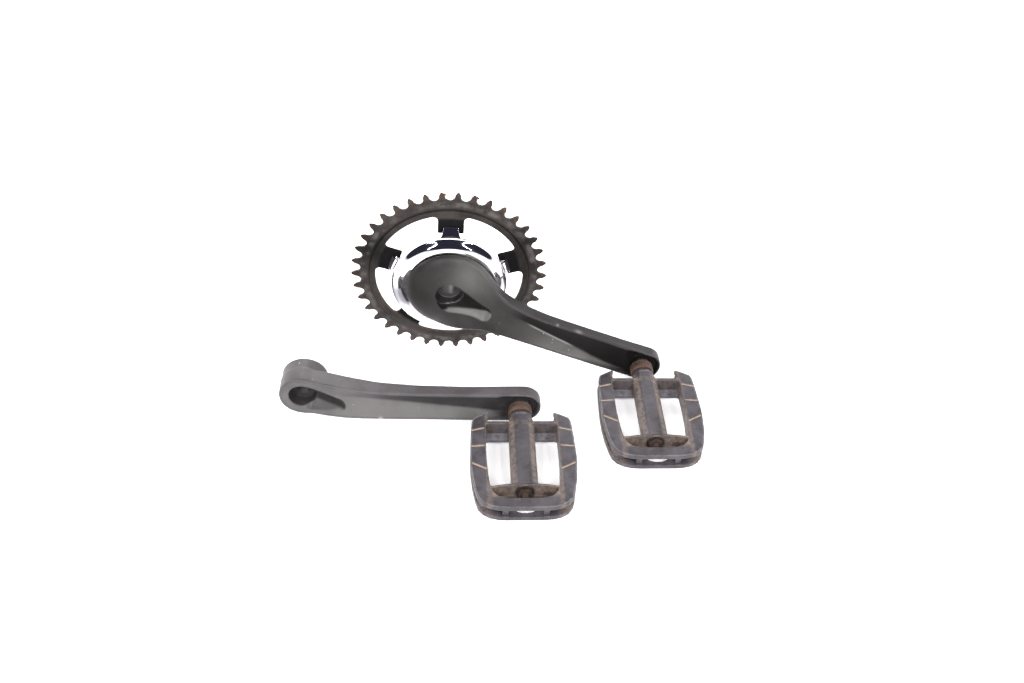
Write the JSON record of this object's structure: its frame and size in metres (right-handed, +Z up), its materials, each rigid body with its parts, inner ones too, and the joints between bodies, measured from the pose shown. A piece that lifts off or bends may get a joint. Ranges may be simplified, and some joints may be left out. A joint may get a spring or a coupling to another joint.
{
  "type": "bicycle crankset",
  "caption": "Bicycle crankset in two loose halves: crank arms with a chromed spider, a single chainring and platform pedals that spin.",
  "frame": {"origin": "middle of the whole assembly's bounding box in plan, on the surface that it stands on", "axes": "+Z up, +X along the cranks from the bottom bracket ends to the pedals, -Y outboard along both pedal spindles, which lean down at their outer ends"},
  "size_m": [0.3363, 0.2077, 0.1605],
  "materials": {
    "black_paint": "satin black paint, chipped and scuffed",
    "grey_paint": "faded black paint, satin, dusty",
    "black_oxide": "blackened steel, rusty at the teeth and edges",
    "chrome": "bright chrome plate on pressed steel",
    "rusty_steel": "rusted steel",
    "pedal_resin": "black moulded resin, greyed and dusty",
    "nylon": "natural nylon",
    "rubber": "black rubber"
  },
  "bodies": {
    "drive_crank": {"right_crank_arm": "black_paint", "chainring": "black_oxide", "spider": "chrome", "spider_rivet_1": "chrome", "spider_rivet_2": "chrome", "spider_rivet_3": "chrome", "spider_rivet_4": "chrome", "spider_rivet_5": "chrome", "right_pedal_spindle": "rusty_steel", "right_pedal_washer": "rusty_steel", "right_pedal_locknut": "rusty_steel"},
    "left_crank": {"left_crank_arm": "grey_paint", "left_pedal_spindle": "rusty_steel", "left_pedal_washer": "rusty_steel", "left_pedal_locknut": "rusty_steel"},
    "right_pedal": {"right_pedal_body": "pedal_resin", "right_pedal_inner_bush": "nylon", "right_pedal_outer_bush": "nylon", "right_pedal_dust_seal": "rubber"},
    "left_pedal": {"left_pedal_body": "pedal_resin", "left_pedal_inner_bush": "nylon", "left_pedal_outer_bush": "nylon", "left_pedal_dust_seal": "rubber"}
  },
  "joints": [
    {"name": "right_pedal_spin", "type": "hinge", "parent": "drive_crank", "child": "right_pedal", "pos_m": [0.12793, 0.00239, 0.01128], "axis": [0, -0.9974, -0.0715], "continuous": true},
    {"name": "left_crank_lift", "type": "slide", "parent": "drive_crank", "child": "left_crank", "axis": [0, 0, 1], "range_m": [0, 0.15]},
    {"name": "left_pedal_spin", "type": "hinge", "parent": "left_crank", "child": "left_pedal", "pos_m": [0.02327, -0.04944, 0.01128], "axis": [0, -0.9974, -0.0715], "continuous": true}
  ]
}
